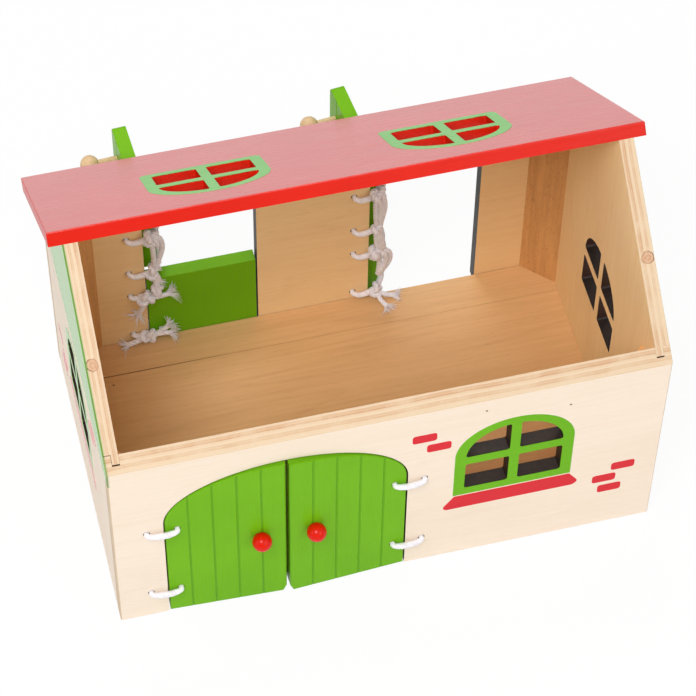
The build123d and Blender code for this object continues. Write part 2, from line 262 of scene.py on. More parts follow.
def brushedPaintGroup():  # paint over sanded wood: faint strokes along X, slow drift of tone, rare pinholes
    tree, given, out = startGroup(
        "brushedPaint",
        [
            ("Vector", vectorKind, None), ("Paint", colourKind, (0.2, 0.5, 0.05, 1)),
            ("Deep", colourKind, (0.1, 0.35, 0.02, 1)), ("Strokes", floatKind, 0.4),
            ("Drift", floatKind, 0.25), ("Pinholes", floatKind, 0.4),
        ],
        [("Color", colourKind), ("Roughness", floatKind), ("Height", floatKind)],
    )
    long = stretched(tree, given["Vector"], (0.05, 1.0, 1.0))
    strokes = ramp(tree, noise(tree, long, 620.0, 4.0, 0.6), [(0.36, 0), (0.66, 1)])
    drift = ramp(tree, noise(tree, given["Vector"], 16.0, 3.0, 0.55), [(0.35, 0), (0.65, 1)])
    holes = ramp(tree, noise(tree, given["Vector"], 460.0, 1.0), [(0.775, 0), (0.8, 1)])
    holes = times(tree, holes, given["Pinholes"])
    stroke = times(tree, strokes, given["Strokes"])
    tone = plus(tree, stroke, times(tree, drift, given["Drift"]))
    tone = plus(tree, tone, holes, clamp=True)
    feed(out["Color"], mixColour(tree, tone, given["Paint"], given["Deep"]))
    rough = plus(tree, 0.26, times(tree, strokes, 0.1))
    feed(out["Roughness"], rough)
    feed(out["Height"], minus(tree, strokes, times(tree, holes, 2.0)))
    return tree


groups = {"woodGrain": woodGrainGroup(), "plyLayers": plyLayersGroup(), "boxMask": boxMaskGroup(),
          "brushedPaint": brushedPaintGroup()}
print("barn: shader groups made")


def useGroup(tree, name, **values):
    node = tree.nodes.new("ShaderNodeGroup")
    node.node_tree = groups[name]
    for key, value in values.items():
        feed(node.inputs[key.replace("_", " ")], value)
    return node.outputs


def newFinish(name, roughness=0.5, specular=0.5, coat=0.0, coatRoughness=0.1):
    finish = bpy.data.materials.new(name)
    finish.use_nodes = True
    tree = finish.node_tree
    shader = tree.nodes["Principled BSDF"]
    shader.inputs["Roughness"].default_value = roughness
    shader.inputs["Specular IOR Level"].default_value = specular
    shader.inputs["Coat Weight"].default_value = coat
    shader.inputs["Coat Roughness"].default_value = coatRoughness
    return finish, tree, shader


unturned, upright = (0, 0, 0), (0, math.pi / 2, 0)  # grain along X, and grain along Z


def objectPlace(tree, turn=unturned, shift=(0, 0, 0)):  # plain and turned Object coordinates
    place = tree.nodes.new("ShaderNodeTexCoord").outputs["Object"]
    return place, put(tree, "ShaderNodeMapping", Rotation=turn, Location=shift, Vector=place).outputs[0]


def faceNormal(tree):
    return tree.nodes.new("ShaderNodeTexCoord").outputs["Normal"]


def bumpFrom(tree, shader, height, strength, distance):
    bump = put(tree, "ShaderNodeBump", Strength=strength, Distance=distance, Height=height)
    feed(shader.inputs["Normal"], bump.outputs[0])


def pickAxis(tree, vector, axis):
    return put(tree, "ShaderNodeSeparateXYZ", Vector=vector).outputs[axis]


def named(ending, start=""):  # CAD nodes by how their names start and end
    return [name for name in nodes if name.startswith(start) and name.endswith(ending)]


def dress(names, finish):  # a finish for CAD nodes
    for name in names:
        nodes[name].data.materials.clear()
        nodes[name].data.materials.append(finish)


walls = {
    # painted light: the outer colours are the plywood as if lit, the inner ones the same plywood as if in
    # shade
    "outerLitPale": rgb(246, 230, 212), "outerLitDark": rgb(224, 190, 155),
    "innerShadedPale": rgb(251, 218, 168), "innerShadedDark": rgb(232, 188, 132),
    "long": rgb(219, 196, 165), "cross": rgb(190, 140, 98),
    "knotFill": rgb(186, 122, 84), "knotRim": rgb(74, 42, 24),
    "burnt": rgb(15, 9, 7), "burntLight": rgb(54, 34, 24),
    "paintRun": rgb(84, 132, 30), "paintFoot": 159.8 * mm, "shoulder": 101.1 * mm, "flank": 175.0 * mm,
    "board": 9.5 * mm, "halfDepth": 111 * mm, "halfWidth": 180 * mm, "soft": 0.4 * mm,
    "doorBox": ((0, 0.106, 0.0805), (0.168, 0.02, 0.0795)),  # boxes: middle and half sizes, in m
    "windowBox": ((0, 0, 0.112), (0.2, 0.08, 0.05)), "grooveBox": ((0, 0.106, 0.2), (0.179, 0.02, 0.06)),
    "knot": (0.1757, -0.058, 0.2157, 0.0042),  # distance from the middle, y, z and radius, in m
}


def knotMasks(tree, place, knot, edge):  # swirl and rim of a round knot on a cut edge
    parts = put(tree, "ShaderNodeSeparateXYZ", Vector=place).outputs
    outward = absolute(tree, parts[0])
    mirrored = put(tree, "ShaderNodeCombineXYZ", X=outward, Y=parts[1], Z=parts[2]).outputs[0]
    away = vectorMath("DISTANCE", tree, mirrored, knot[:3])["Value"]
    wobble = minus(tree, noise(tree, place, 190.0, 3.0, 0.6), 0.5)
    reach = divided(tree, away, knot[3])
    reach = plus(tree, reach, times(tree, wobble, 0.8))
    rings = fraction(tree, times(tree, reach, 2.0))
    swirl = ramp(tree, rings, [(0.0, 0.45), (0.6, 0.6), (0.85, 1), (1.0, 0.45)])
    inside = ramp(tree, reach, [(0.0, 0.9), (0.9, 0.8), (1.15, 0)])
    fill = times(tree, swirl, inside)
    broken = minus(tree, outward, knot[0])
    broken = ramp(tree, divided(tree, broken, knot[3]), [(0.0, 0.25), (0.5, 1)])
    rim = ramp(tree, reach, [(0.8, 0), (0.92, 1), (1.06, 0)])
    rim = times(tree, rim, broken)
    return (times(tree, fill, edge), times(tree, rim, edge))


# Plywood board whose faces look along axis, plies on its cut edges. Painted light: the one plywood colour
# comes in a pale, whiter copy on the outer faces as if lit and a warmer tan copy on the inner faces as if in
# shade.
# sign is the way the outer face looks, burntBox is where a cut edge is scorched by the saw, and
# painted is how strongly the green paint that ran over the arris, and a gable's glue lines, show.
def boardFinish(name, axis, sign, reach, turn, burntBox, knot=None, painted=0.0):
    finish, tree, shader = newFinish(name, roughness=0.55, specular=0.35)
    place, outerPlace = objectPlace(tree, turn)
    _, innerPlace = objectPlace(tree, turn, (0.31, 0.17, 0.05))
    normal = faceNormal(tree)
    facing = times(tree, pickAxis(tree, normal, axis), float(sign))
    outside = isOver(tree, facing, 0.9)
    inside = isUnder(tree, facing, -0.9)
    edge = minus(tree, minus(tree, 1.0, outside), inside)
    outer = useGroup(tree, "woodGrain", Vector=outerPlace, Pale=walls["outerLitPale"], Dark=walls["outerLitDark"],
                     Fibre_Scale=520.0, Band_Scale=12.0, Contrast=0.3, Pores=0.1)
    inner = useGroup(tree, "woodGrain", Vector=innerPlace, Pale=walls["innerShadedPale"], Dark=walls["innerShadedDark"],
                     Fibre_Scale=520.0, Band_Scale=14.0, Contrast=0.55, Pores=0.2)
    across = times(tree, pickAxis(tree, place, axis), float(sign))
    depth = divided(tree, minus(tree, reach, across), walls["board"])
    plies = useGroup(tree, "plyLayers", Vector=place, Depth=depth, Long=walls["long"], Cross=walls["cross"])
    # painted light and shade: the lit copy of the plywood on the outer faces, the shaded copy on the inner
    # faces
    colour = mixColour(tree, outside, inner["Color"], outer["Color"])
    colour = mixColour(tree, edge, colour, plies["Color"])
    if knot:
        fill, rim = knotMasks(tree, place, knot, edge)
        colour = mixColour(tree, fill, colour, walls["knotFill"])
        colour = mixColour(tree, rim, colour, walls["knotRim"])
    if painted:
        high = isOver(tree, pickAxis(tree, place, "Z"), walls["paintFoot"])
        fromEnd = divided(tree, plus(tree, walls["halfWidth"], pickAxis(tree, place, "X")), walls["board"])
        run = ramp(tree, fromEnd, [(0.0, 1), (0.085, 0.95), (0.11, 0.3), (0.22, 0)])
        run = times(tree, times(tree, run, high), painted)
        colour = mixColour(tree, run, colour, walls["paintRun"])
    def inBox(box):
        (x, y, z), half = box
        centre = (x, sign * y, z)
        return useGroup(tree, "boxMask", Vector=place, Centre=centre, Half=half, Soft=walls["soft"])[0]

    char = ramp(tree, noise(tree, place, 300.0, 3.0, 0.6), [(0.3, 0), (0.75, 0.6)])
    soot = mixColour(tree, char, walls["burnt"], walls["burntLight"])
    colour = mixColour(tree, times(tree, inBox(burntBox), edge), colour, soot)
    if axis == "Y":  # sawn sides of the grooves that hold the gables' tongues
        sideways = absolute(tree, pickAxis(tree, normal, "X"))
        groove = times(tree, isOver(tree, sideways, 0.9), inBox(walls["grooveBox"]))
        colour = mixColour(tree, groove, colour, walls["burnt"])
    else:  # glue lines round the tongues, and their ends
        far = absolute(tree, pickAxis(tree, place, "X"))
        past = isOver(tree, absolute(tree, pickAxis(tree, place, "Y")), walls["shoulder"])
        flank = isOver(tree, far, walls["flank"])
        glue = times(tree, times(tree, past, flank), edge)
        colour = mixColour(tree, times(tree, glue, 0.8 * painted), colour, walls["knotRim"])
        ended = isOver(tree, absolute(tree, pickAxis(tree, normal, "Y")), 0.9)
        colour = mixColour(tree, ended, colour, walls["burntLight"])
    feed(shader.inputs["Base Color"], colour)
    shine = plus(tree, 0.48, times(tree, inner["Grain"], 0.2))
    feed(shader.inputs["Roughness"], shine)
    bumpFrom(tree, shader, mixColour(tree, edge, inner["Height"], plies["Height"]), 0.25, 0.00012)
    return finish


for side, sign, painted in (("front", -1, 0.8), ("rear", 1, 0.0)):
    wood = boardFinish(side + "Wood", "Y", sign, walls["halfDepth"], unturned, walls["doorBox"], None,
                       painted)
    dress([side + "_wall"], wood)
for side, sign, painted in (("left", -1, 1.0), ("right", 1, 0.0)):
    wood = boardFinish(side + "GableWood", "X", sign, walls["halfWidth"], upright, walls["windowBox"],
                       walls["knot"], painted)
    dress([side + "_gable_wall"], wood)

bare = {
    "floorPale": rgb(224, 180, 128), "floorDark": rgb(182, 130, 80),
    "blockPale": rgb(226, 170, 108), "blockDark": rgb(166, 110, 62),
    "ballPale": rgb(228, 198, 154), "ballDark": rgb(190, 146, 98),
    "seamDirt": rgb(84, 48, 22), "seamHalf": 0.4 * mm, "seamPlace": 74.5 * mm,
}


def bareFinish(name, wood, turn, contrast, pores, bandScale=14.0, poreScale=900.0, seam=None):
    finish, tree, shader = newFinish(name, specular=0.4)
    _, place = objectPlace(tree, turn)
    grain = useGroup(tree, "woodGrain", Vector=place, Pale=bare[wood + "Pale"], Dark=bare[wood + "Dark"],
                     Contrast=contrast, Pores=pores, Band_Scale=bandScale, Pore_Scale=poreScale)
    colour = grain["Color"]
    if seam:  # dirt in the joint between two boards, thick at its left end
        near = isWithin(tree, pickAxis(tree, place, "Y"), seam, bare["seamHalf"])
        along = divided(tree, pickAxis(tree, place, "X"), -walls["halfWidth"])
        thick = ramp(tree, along, [(0.25, 0.08), (0.7, 0.75)])
        colour = mixColour(tree, times(tree, near, thick), colour, bare["seamDirt"])
    feed(shader.inputs["Base Color"], colour)
    bumpFrom(tree, shader, grain["Height"], 0.25, 0.00012)
    return finish


floorWood = bareFinish("floorWood", "floor", unturned, 0.55, 0.12, seam=bare["seamPlace"])
blockWood = bareFinish("blockWood", "block", upright, 0.6, 0.5, 40.0, poreScale=1900.0)
ballWood = bareFinish("ballWood", "ball", unturned, 0.55, 0.2, 90.0)
dress(["floor_front_board", "floor_rear_board"], floorWood)
dress(named("corner_block"), blockWood)
dress(named("knob_dowel"), ballWood)
dress(named("_knob", "rear"), ballWood)
print("barn: boards finished")

paint = {
    "holeDeep": rgb(160, 14, 2), "holePale": rgb(236, 36, 6),
    # the groove and door edge greens are painted shade for the front doors
    "groove": rgb(104, 168, 18), "doorEdgeShade": rgb(84, 138, 14),
    "door": (rgb(117, 183, 22), rgb(100, 162, 14)), "roof": (rgb(213, 27, 4), rgb(188, 18, 3)),
    "frame": (rgb(112, 182, 24), rgb(92, 158, 16)), "roofFrame": (rgb(140, 208, 122), rgb(112, 180, 92)),
    "brick": (rgb(220, 46, 56), rgb(202, 37, 46)), "bead": (rgb(220, 26, 3), rgb(194, 17, 2)),
}


def paintFinish(name, kind, turn=unturned, coat=0.0, strokes=0.15, drift=0.25, pinholes=0.3, bump=0.1,
                smooth=None, gloss=0.06):
    finish, tree, shader = newFinish(name, 0.3, gloss, coat, 0.15)
    _, place = objectPlace(tree, turn)
    coatOf = useGroup(tree, "brushedPaint", Vector=place, Paint=paint[kind][0], Deep=paint[kind][1],
                      Strokes=strokes, Drift=drift, Pinholes=pinholes)
    feed(shader.inputs["Base Color"], coatOf["Color"])
    if smooth is None:
        feed(shader.inputs["Roughness"], coatOf["Roughness"])
    else:
        shader.inputs["Roughness"].default_value = smooth
    bumpFrom(tree, shader, coatOf["Height"], bump, 0.0001)
    return finish


def openFinish(finish):  # a finish's nodes, its shader, and the colour that reaches it
    shader = finish.node_tree.nodes["Principled BSDF"]
    return finish.node_tree, shader, shader.inputs["Base Color"].links[0].from_socket


def frontDoorFinish():  # painted shade: a darker green in the grooves, darker still on the edges
    finish = paintFinish("frontDoorGreen", "door", upright)
    tree, shader, painted = openFinish(finish)
    normal = faceNormal(tree)
    facing = absolute(tree, pickAxis(tree, normal, "Y"))
    edge = isUnder(tree, facing, 0.3)
    groove = times(tree, isUnder(tree, facing, 0.97), isOver(tree, facing, 0.3))
    # painted shade: the grooves' walls take a darker green, the edges a darker one still
    grooveShaded = mixColour(tree, groove, painted, paint["groove"])
    feed(shader.inputs["Base Color"], mixColour(tree, times(tree, edge, 0.6), grooveShaded, paint["doorEdgeShade"]))
    return finish


dress(named("_door", "rear"), paintFinish("doorGreen", "door", upright))
dress(named("_door", "front"), frontDoorFinish())
beadRed = paintFinish("beadRed", "bead", upright, coat=0.04, strokes=0.1, pinholes=0.0, bump=0.04,
                      smooth=0.25, gloss=0.15)
dress(named("_knob", "front"), beadRed)

roof = {"side": 170 * mm, "middle": 75 * mm, "reach": 55 * mm}  # box round the windows' holes


def roofFinish():  # paint on the panel's top and edges, glossier on top, bare wood below
    finish = paintFinish("roofRed", "roof", gloss=0.2)
    tree, shader, painted = openFinish(finish)
    _, place = objectPlace(tree)
    normal = faceNormal(tree)
    facing = pickAxis(tree, normal, "Z")
    below = isUnder(tree, facing, -0.7)
    feed(shader.inputs["Coat Weight"], times(tree, isOver(tree, facing, 0.7), 0.6))
    # painted shade: the bare underside takes the walls' shaded copy of the plywood colour
    wood = useGroup(tree, "woodGrain", Vector=place, Pale=walls["innerShadedPale"], Dark=walls["innerShadedDark"])
    level = isUnder(tree, absolute(tree, facing), 0.7)
    across = isUnder(tree, absolute(tree, pickAxis(tree, place, "X")), roof["side"])
    down = isWithin(tree, pickAxis(tree, place, "Y"), roof["middle"], roof["reach"])
    inHole = times(tree, times(tree, level, across), down)
    streaks = noise(tree, place, 900.0, 3.0, 0.6)
    worn = mixColour(tree, streaks, paint["holeDeep"], paint["holePale"])
    sides = mixColour(tree, inHole, painted, worn)
    feed(shader.inputs["Base Color"], mixColour(tree, below, sides, wood["Color"]))
    return finish


dress(["roof_panel"], roofFinish())
print("barn: paint mixed")

window = {
    "paneHalf": 32.1, "spring": 35.3, "rise": 28.7, "postHalf": 3.3, "barLow": 27.3, "round": 1.5,
    "frameHalf": 39.4, "frameShift": 0.1, "frameBase": -7.4, "frameSpring": 36.8, "frameTop": 70.8,
    "sill": [(-38.4, -8.6), (39.1, -8.6), (45.8, -19.0), (42.3, -22.7), (-43.4, -22.9), (-46.2, -20.3)],
    "bricks": [(67.8, -15.2), (55.8, -27.1), (60.3, -39.5), (-68.1, 62.7), (-58.4, 50.3)],
    "brick": (15.9, 8.4), "brickRound": 2.1, "roofRound": 5.0, "sillRound": 2.9,
    "proud": 0.12, "sunk": 0.2,
}
gable = {"ridge": 263, "eave": 172.5, "half": 111, "panel": 9, "windowDown": 100.6, "windowAcross": 78.5}
slope = math.atan2(gable["ridge"] - gable["eave"], gable["half"])
seats = {  # origin, across, up and outward directions of each window's face, in mm
    "front": ((80.9, -111, 77.2), (1, 0, 0), (0, 0, 1), (0, -1, 0)),
    "left": ((-180, 1, 77.2), (0, 1, 0), (0, 0, 1), (-1, 0, 0)),
    "right": ((180, 1, 77.2), (0, 1, 0), (0, 0, 1), (1, 0, 0)),
}
for side, sign in (("roofLeft", -1), ("roofRight", 1)):
    outward = np.array((0, math.sin(slope), math.cos(slope)))
    back, drop = gable["windowDown"] * math.cos(slope), gable["windowDown"] * math.sin(slope)
    origin = np.array((sign * gable["windowAcross"], back, gable["ridge"] - drop)) + gable["panel"] * outward
    seats[side] = (tuple(origin), (1, 0, 0), (0, -math.cos(slope), math.sin(slope)), tuple(outward))


# Outline with its marked corners rounded: each corner gives way to a quadratic curve between the
# points that lie a tangent length away along its two sides. The curve's middle point is the corner,
# drawn in by 0.14 towards the chord, and points that lie close to a corner are dropped.
def roundCorners(points, corners, radius, steps=5):
    points = np.array(points, float)
    kept = []
    for index, point in enumerate(points):
        near = min((float(np.linalg.norm(point - points[c])) for c in corners), default=9e9)
        if index not in corners:
            if near > radius * 1.15:
                kept.append(point)
            continue
        before, after = points[index - 1], points[(index + 1) % len(points)]
        back = (before - point) / np.linalg.norm(before - point)
        ahead = (after - point) / np.linalg.norm(after - point)
        half = math.acos(float(np.clip(back @ ahead, -1, 1))) / 2
        reach = radius / math.tan(half)
        t = np.linspace(0, 1, steps)[:, None]
        start, stop = point + back * reach, point + ahead * reach
        middle = point * 0.86 + (start + stop) * 0.07
        kept.extend((1 - t) ** 2 * start + 2 * t * (1 - t) * middle + t ** 2 * stop)
    return np.array(kept)


def paneOutlines(given):
    half, post, spring, rise = given["paneHalf"], given["postHalf"], given["spring"], given["rise"]
    lower = [(post, 0), (half, 0), (half, given["barLow"]), (post, given["barLow"])]
    angle = np.linspace(0, math.acos(post / half), 24)
    arc = np.column_stack((half * np.cos(angle), spring + rise * np.sin(angle)))
    upper = [(post, spring)] + [tuple(p) for p in arc]
    lower = roundCorners(lower, [0, 1, 2, 3], given["round"])
    upper = roundCorners(upper, [0, 1, len(upper) - 1], given["round"])
    return [shape * (sign, 1) for shape in (lower, upper) for sign in (1, -1)]


def frameOutline(given):
    angle = np.linspace(0, math.pi, 48)
    rise = given["frameTop"] - given["frameSpring"]
    arc = np.column_stack((given["frameHalf"] * np.cos(angle), given["frameSpring"] + rise * np.sin(angle)))
    base = [(-given["frameHalf"], given["frameBase"]), (given["frameHalf"], given["frameBase"])]
    return np.vstack((arc, base)) + (given["frameShift"], 0)


# Thin coat of paint on a flat face: the outline less its holes, filled, then given its thickness.
def paintPatch(name, seat, outlines, finish):
    origin, across, up, outward = (np.array(v, float) for v in seat)
    shape = bmesh.new()
    for outline in outlines:
        spots = (origin + outline[:, :1] * across + outline[:, 1:] * up + window["proud"] * outward) * mm
        ring = [shape.verts.new(spot) for spot in spots]
        for first, second in zip(ring, ring[1:] + ring[:1]):
            shape.edges.new((first, second))
    outward = Vector(outward)
    bmesh.ops.triangle_fill(shape, use_beauty=True, use_dissolve=False, edges=shape.edges[:], normal=outward)
    shape.normal_update()
    wrong = [face for face in shape.faces if face.normal.dot(outward) < 0]
    bmesh.ops.reverse_faces(shape, faces=wrong)
    mesh = bpy.data.meshes.new(name)
    shape.to_mesh(mesh)
    shape.free()
    patch = addObject(name, mesh)
    mesh.materials.append(finish)
    depth = patch.modifiers.new("coat", "SOLIDIFY")
    depth.thickness = (window["proud"] + window["sunk"]) * mm
    depth.offset = -1
    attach(patch, "barn")


def brickOutline(corner, given):
    wide, high = given["brick"]
    x, z = corner
    corners = [(x, z), (x + wide, z), (x + wide, z + high), (x, z + high)]
    return roundCorners(corners, [0, 1, 2, 3], given["brickRound"], 6)


frameGreen = paintFinish("frameGreen", "frame", drift=0.2, bump=0.03, smooth=0.16)
roofFrameGreen = paintFinish("roofFrameGreen", "roofFrame", drift=0.2)
brickRed = paintFinish("brickRed", "brick", bump=0.03, smooth=0.16)
panes = paneOutlines(window)
for place, seat in seats.items():
    onRoof = place.startswith("roof")
    outline = frameOutline(window)
    if onRoof:
        outline = roundCorners(outline, [len(outline) - 2, len(outline) - 1], window["roofRound"], 8)
    paintPatch(place + "WindowFrame", seat, [outline] + panes, roofFrameGreen if onRoof else frameGreen)
    if onRoof:
        continue
    sill = roundCorners(window["sill"], [2, 3, 4, 5], window["sillRound"])
    paintPatch(place + "WindowSill", seat, [sill], brickRed)
    for index, corner in enumerate(window["bricks"], 1):
        paintPatch(place + "Brick" + str(index), seat, [brickOutline(corner, window)], brickRed)

gableTop = {"half": 109.8, "foot": 159.8, "ridge": 262.6}


def gableTopOutline(given):  # green triangle that fills a gable above its window, under both slopes
    eave = given["ridge"] - given["half"] * math.tan(slope)
    return np.array([(0, given["ridge"]), (-given["half"], eave), (-given["half"], given["foot"]),
                     (given["half"], given["foot"]), (given["half"], eave)])


for side, sign in (("left", -1), ("right", 1)):
    seat = ((sign * 180, 0, 0), (0, 1, 0), (0, 0, 1), (sign, 0, 0))
    paintPatch(side + "GableTop", seat, [gableTopOutline(gableTop)], frameGreen)
print("barn: painted trim laid on")

cord = {  # mm; local frame: turning axis at the origin, wall towards -X, leaf turned from +X, outside +Y
    "wallHole": -11.4, "leafHole": 8.3, "faceIn": -10.1, "faceOut": -0.6, "corner": 1.75,
    "thin": 1.7, "thick": 2.15, "stand": 2.45, "sag": 1.5, "lay": 10.0, "strands": 3, "around": 24,
    "loopDepth": 0.24, "tiedDepth": 0.5, "knotIn": 2.8, "knotShut": (-1.5, -14.8, 0.0), "knotScale": 1.3664,
    "knotRadius": 1.75, "knotLay": 7.0, "tailRadius": 1.85, "tailLay": 8.5, "fibres": 48, "fibreRadius": 0.3,
    "fibreRoot": 2.4,
}
hangingTails = [[(-1, -1.5, -6), (-2, -1.8, -13), (-2.5, -1.8, -18)],
                [(2, -2, -6), (3, -3, -13), (3, -3, -17)]]
spreadTails = [[(-5, -1.5, -3), (-10, -1.5, -8), (-13, -1, -13)],
               [(4, -2.8, -3), (8, -4, -8), (10, -4.4, -12)]]
leafHinges = {  # turning axis x, y; leaf angle at rest; signs that take the local x and y to the barn's
    "front_left": ((-147.2, -111.6), 2.3, (1, -1)), "front_right": ((10.6, -111.6), 3.2, (-1, -1)),
    "rear_left_lower": ((-116.4, 111.6), 0.0, (1, 1)), "rear_left_upper": ((-116.4, 111.6), 93.0, (1, 1)),
    "rear_right_lower": ((39.6, 111.6), 94.0, (1, 1)), "rear_right_upper": ((39.6, 111.6), 96.0, (1, 1)),
}
# Each lashing, named after its leaf: height, knot size, loose ends from the knot's middle, and their
# frays in mm, where 0 is a knotted end and None a plain one.
lashings = {}
for leaf in ("front_left", "front_right"):
    lashings[leaf + "_upper"] = (99.0, 1.0, hangingTails, (6, 6))
    lashings[leaf + "_lower"] = (27.5, 1.0, spreadTails, (6, 4.5))
lashings.update({
    "rear_left_upper_top": (123.5, 1.35, [
        [(0.5, -1, -5), (1, -1.5, -13), (1.2, -1, -23), (1, -0.5, -34)],
        [(4, 0, 1.5), (7.2, -0.5, -4), (7.6, -1, -12), (5.6, -1, -20), (3.2, -1, -28)],
        [(2.4, -1.8, 0), (4, -2.4, -3.5), (4.2, -2.4, -8)]], (None, 3, None)),
    "rear_left_upper_bottom": (86.5, 1.2, [
        [(0.8, -1, -5), (1.2, -1.8, -11), (1.6, -2.8, -18)],
        [(2.5, -0.5, -4), (3.5, -1, -8), (3.4, -1.2, -11)]], (0, 4)),
    "rear_left_lower_top": (60.5, 1.25, [
        [(6, -0.5, 0.5), (12, 0, 0), (16, 0.5, 1)],
        [(-2, -1, -6), (-4, -1, -11), (-6, 0, -15)]], (8, 8.5)),
    "rear_left_lower_bottom": (17.0, 1.2, [
        [(5, -0.5, 1), (10, 0, 4), (14, 0.5, 7)],
        [(4, -1, 2), (9, -1, 2), (15, -1, 1)],
        [(-6, -1, -1.5), (-12, -1, -3.5), (-15, -1, -4.6)]], (7, 7, 7)),
    "rear_right_upper_top": (123.5, 1.4, [
        [(-1.6, -0.6, -6), (-1.8, -0.6, -15), (-0.8, -0.6, -33)],
        [(3.4, -0.6, -2), (4.8, -1, -10), (4.2, -1, -19), (1.8, -1, -31)],
        [(0.8, -1.6, -5), (1.6, -2, -14), (1.2, -1.6, -28)]], (None, None, None)),
    "rear_right_upper_bottom": (86.5, 1.1, [
        [(-1, -0.6, -6), (-0.6, -1, -12), (0.2, -1, -22)],
        [(1.8, -0.6, -6), (3.4, -1, -12), (4.8, -1, -21)],
        [(0.4, -1.6, -6), (1.4, -2, -12), (2.6, -1.6, -21)]], (None, None, None)),
    "rear_right_lower_top": (60.5, 1.5, [
        [(5, 0, 2), (9.8, 0, -3), (9.8, -0.5, -11), (5.4, -1, -19), (1.4, -1, -26)],
        [(3, -1.5, 1), (6.2, -2, -3), (6.2, -2, -10), (3.4, -2, -17), (1, -1.5, -23)],
        [(2, -1, -8), (2, -1, -16), (1, -1, -25)]], (None, None, None)),
    "rear_right_lower_bottom": (17.0, 1.1, [
        [(3.5, -2, -3), (8, -3, -5), (12, -4, -5.2)],
        [(1, -4, -3), (3, -8, -5), (5, -12, -5.2)]], (7, 7)),
})


# Points of the NURBS curve through a cord's control points, spaced evenly along its length, in mm.
def cordPoints(controls, closed, spacing):
    curve = bpy.data.curves.new("cordRoute", "CURVE")
    curve.dimensions = "3D"
    curve.resolution_u = 14
    spline = curve.splines.new("NURBS")
    spline.points.add(len(controls) - 1)
    spline.points.foreach_set("co", np.column_stack((controls, np.ones(len(controls)))).ravel())
    spline.order_u = 3
    spline.use_cyclic_u = closed
    spline.use_endpoint_u = not closed
    holder = bpy.data.objects.new("cordRoute", curve)
    mesh = bpy.data.meshes.new_from_object(holder)
    points = np.empty(len(mesh.vertices) * 3)
    mesh.vertices.foreach_get("co", points)
    points = points.reshape(-1, 3)
    bpy.data.meshes.remove(mesh)
    bpy.data.objects.remove(holder)
    bpy.data.curves.remove(curve)
    if closed:
        points = np.vstack((points, points[:1]))
    steps = np.linalg.norm(np.diff(points, axis=0), axis=1)
    along = np.concatenate(([0], np.cumsum(steps)))
    count = max(8, int(along[-1] / spacing))
    wanted = np.linspace(0, along[-1], count, endpoint=not closed)
    return np.column_stack([np.interp(wanted, along, points[:, k]) for k in range(3)]), along[-1]


def unit(v):
    return v / np.linalg.norm(v, axis=-1, keepdims=True)


def squareTo(heading, lean):  # two directions square to the heading and to each other
    first = unit(np.cross(heading, lean))
    return first, np.cross(heading, first)


def turned(angle, first, second):  # direction at an angle from the first towards the second
    return np.cos(angle) * first + np.sin(angle) * second


def fullTurn(count):  # evenly spaced angles of one full turn
    return np.linspace(0, 2 * math.pi, count, endpoint=False)


# Twisted cord: round each point of the path the outline of three touching strands is set square
# to the path, turned a little further at each step. Returns grid points, straightened places and the
# painted shade of the creases between strands.
def twistedCord(path, lean, radius, lay, closed, length, depth):
    strands, around = cord["strands"], cord["around"]
    ahead = np.roll(path, -1, 0) - np.roll(path, 1, 0)
    if not closed:
        ahead[0], ahead[-1] = path[1] - path[0], path[-1] - path[-2]
    along = unit(ahead)
    side = unit(lean - (lean * along).sum(-1, keepdims=True) * along)
    other = np.cross(along, side)
    if closed:
        lay = length / max(1, round(length / lay * strands)) * strands
    travel = np.linspace(0, length, len(path), endpoint=not closed)[:, None]
    angle = fullTurn(around)[None, :]
    within = (angle + math.pi / strands) % (2 * math.pi / strands) - math.pi / strands
    swell = 0.42 * np.cos(within) + np.sqrt(0.58 ** 2 - (0.42 * np.sin(within)) ** 2)
    swell = 1 - depth * (1 - swell)
    turn = angle + 2 * math.pi * travel / lay
    reach = np.reshape(radius, (-1, 1)) * swell + 0 * travel
    grid = path[:, None] + reach[..., None] * turned(turn[..., None], side[:, None], other[:, None])
    flat = np.stack((travel + 0 * turn, reach * np.cos(angle), reach * np.sin(angle)), -1)
    # painted shade: the valleys between strands get lower values, which darken the cotton there
    creaseShade = 1 - min(1, 1.5 * depth) * (swell.max() - swell) / (swell.max() - swell.min()) + 0 * turn
    return {"grid": grid, "flat": flat, "creaseShade": creaseShade, "closed": closed}


def smoothStep(value, low, high):
    t = np.clip((value - low) / (high - low), 0, 1)
    return t * t * (3 - 2 * t)


# Overhand knot: its control points lie on the trefoil (sin t + 2 sin 2t, cos t - 2 cos 2t, -1.35 sin 3t).
def knotCord(centre, face, spin, size):
    t = fullTurn(18)
    trefoil = (np.sin(t) + 2 * np.sin(2 * t), np.cos(t) - 2 * np.cos(2 * t), -1.35 * np.sin(3 * t))
    face = unit(np.array(face, float))
    first, second = squareTo(face, (0.0, 0.0, 1.0))
    axes = np.array((turned(spin, first, second), turned(spin, second, -first), face))
    path, length = cordPoints(centre + size * cord["knotScale"] * np.column_stack(trefoil) @ axes, True, 0.45)
    lean, radius = path - centre + 0.35 * size * face, cord["knotRadius"] * size
    return twistedCord(path, lean, radius, cord["knotLay"], True, length, cord["tiedDepth"])


def tailCord(centre, controls, radius):
    path, length = cordPoints(np.vstack((centre, centre + controls)), False, 0.4)
    main = unit(path[-1] - path[0])
    lean = unit(np.cross(main, (0.31, 0.9, 0.24))) + 0 * path
    share = np.linspace(0, 1, len(path))
    taper = radius * (1 - 0.97 * smoothStep(share, 0.965, 1.0))
    sheet = twistedCord(path, lean, taper, cord["tailLay"], False, length, cord["tiedDepth"])
    return sheet, path[-1], unit(path[-1] - path[-4])


